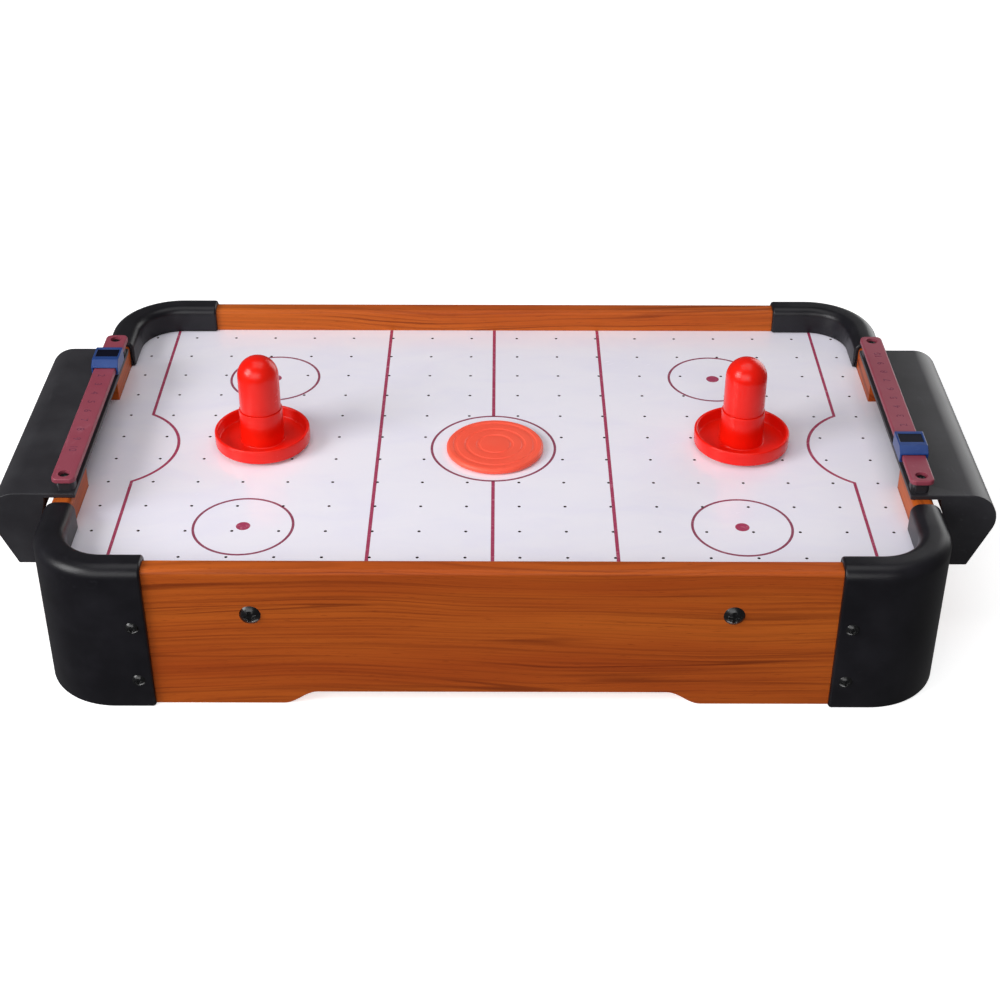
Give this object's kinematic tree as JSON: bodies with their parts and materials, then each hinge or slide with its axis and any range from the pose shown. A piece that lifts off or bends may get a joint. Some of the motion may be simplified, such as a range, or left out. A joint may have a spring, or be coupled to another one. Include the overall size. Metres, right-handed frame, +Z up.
{
  "type": "tabletop air hockey table",
  "caption": "Tabletop air hockey table with a perforated board over a fan-fed air chamber, wood-grain panels, black corner caps, goal hoods, score bars, strikers and a puck.",
  "frame": {"origin": "on the supporting surface under the middle of the table", "axes": "+X along the playing board towards the right goal, +Y to the rear rail, +Z up"},
  "size_m": [0.5666, 0.3196, 0.1335],
  "materials": {
    "wood_veneer": "satin cherry-coloured wood-grain foil on board",
    "raw_wood": "plain softwood, unfinished",
    "hardboard": "brown hardboard, smooth",
    "playing_surface": "glossy white laminate",
    "cap_plastic": "satin black moulded plastic",
    "hood_plastic": "satin dark grey moulded plastic",
    "score_pink": "muted raspberry plastic",
    "slider_blue": "blue plastic, satin gloss",
    "slider_window": "dark smoked plastic, glossy",
    "striker_red": "bright red glossy plastic",
    "puck_orange": "orange-red satin plastic",
    "felt": "thin white felt",
    "black_screw": "black painted steel",
    "steel": "zinc-plated steel",
    "fan_plastic": "dark grey moulded plastic",
    "cell_wrap": "plain gold battery sleeve",
    "wire_red": "red insulation",
    "wire_black": "black insulation"
  },
  "bodies": {
    "table": {"front_side_panel": "wood_veneer", "rear_side_panel": "wood_veneer", "left_end_panel": "wood_veneer", "right_end_panel": "wood_veneer", "front_left_corner_cap": "cap_plastic", "front_right_corner_cap": "cap_plastic", "rear_left_corner_cap": "cap_plastic", "rear_right_corner_cap": "cap_plastic", "corner_blocks": "raw_wood", "playing_board": "playing_surface", "chamber_floor": "hardboard", "left_cross_brace": "raw_wood", "right_cross_brace": "raw_wood", "front_ledgers": "raw_wood", "rear_ledgers": "raw_wood", "left_ledger": "raw_wood", "right_ledger": "raw_wood", "side_panel_screws": "black_screw", "corner_cap_screws": "black_screw", "floor_screws": "steel", "left_goal_hood": "hood_plastic", "right_goal_hood": "hood_plastic", "left_score_bar": "score_pink", "right_score_bar": "score_pink", "score_bar_screws": "black_screw", "fan_duct": "fan_plastic", "fan_grille": "fan_plastic", "fan_motor": "steel", "fan_screws": "steel", "battery_box": "fan_plastic", "battery_cells": "cell_wrap", "battery_contacts": "steel", "switch_housing": "fan_plastic", "bracket_screws": "steel", "red_wire": "wire_red", "black_wire": "wire_black", "switch_wire": "wire_red"},
    "left_slider": {"left_score_slider": "slider_blue", "left_slider_window": "slider_window"},
    "right_slider": {"right_score_slider": "slider_blue", "right_slider_window": "slider_window"},
    "left_striker": {"left_striker_base": "striker_red", "left_striker_knob": "striker_red", "left_striker_felt": "felt"},
    "right_striker": {"right_striker_base": "striker_red", "right_striker_knob": "striker_red", "right_striker_felt": "felt"},
    "puck": {"puck": "puck_orange"},
    "fan_rotor": {"motor_shaft": "steel", "fan_impeller": "fan_plastic"},
    "battery_cover": {"battery_door": "fan_plastic"},
    "rocker": {"switch_rocker": "fan_plastic"}
  },
  "joints": [
    {"name": "left_striker_slide", "type": "slide", "parent": "table", "child": "left_striker", "axis": [1, 0, 0], "range_m": [-0.0665, 0.081]},
    {"name": "right_striker_slide", "type": "slide", "parent": "table", "child": "right_striker", "axis": [1, 0, 0], "range_m": [-0.09, 0.0565]},
    {"name": "puck_glide", "type": "slide", "parent": "table", "child": "puck", "axis": [0, 1, 0], "range_m": [-0.104, 0.1225]},
    {"name": "left_score_slide", "type": "slide", "parent": "table", "child": "left_slider", "axis": [0, 1, 0], "range_m": [-0.1075, 0.0065]},
    {"name": "right_score_slide", "type": "slide", "parent": "table", "child": "right_slider", "axis": [0, 1, 0], "range_m": [-0.0085, 0.106]},
    {"name": "fan_spin", "type": "hinge", "parent": "table", "child": "fan_rotor", "pos_m": [0, 0, 0.04], "axis": [0, 0, 1], "continuous": true},
    {"name": "battery_door_slide", "type": "slide", "parent": "table", "child": "battery_cover", "axis": [1, 0, 0], "range_m": [0, 0.06]},
    {"name": "power_switch_rock", "type": "hinge", "parent": "table", "child": "rocker", "pos_m": [-0.096, 0, 0.0315], "axis": [0, 1, 0], "range_deg": [-14, 0]}
  ]
}
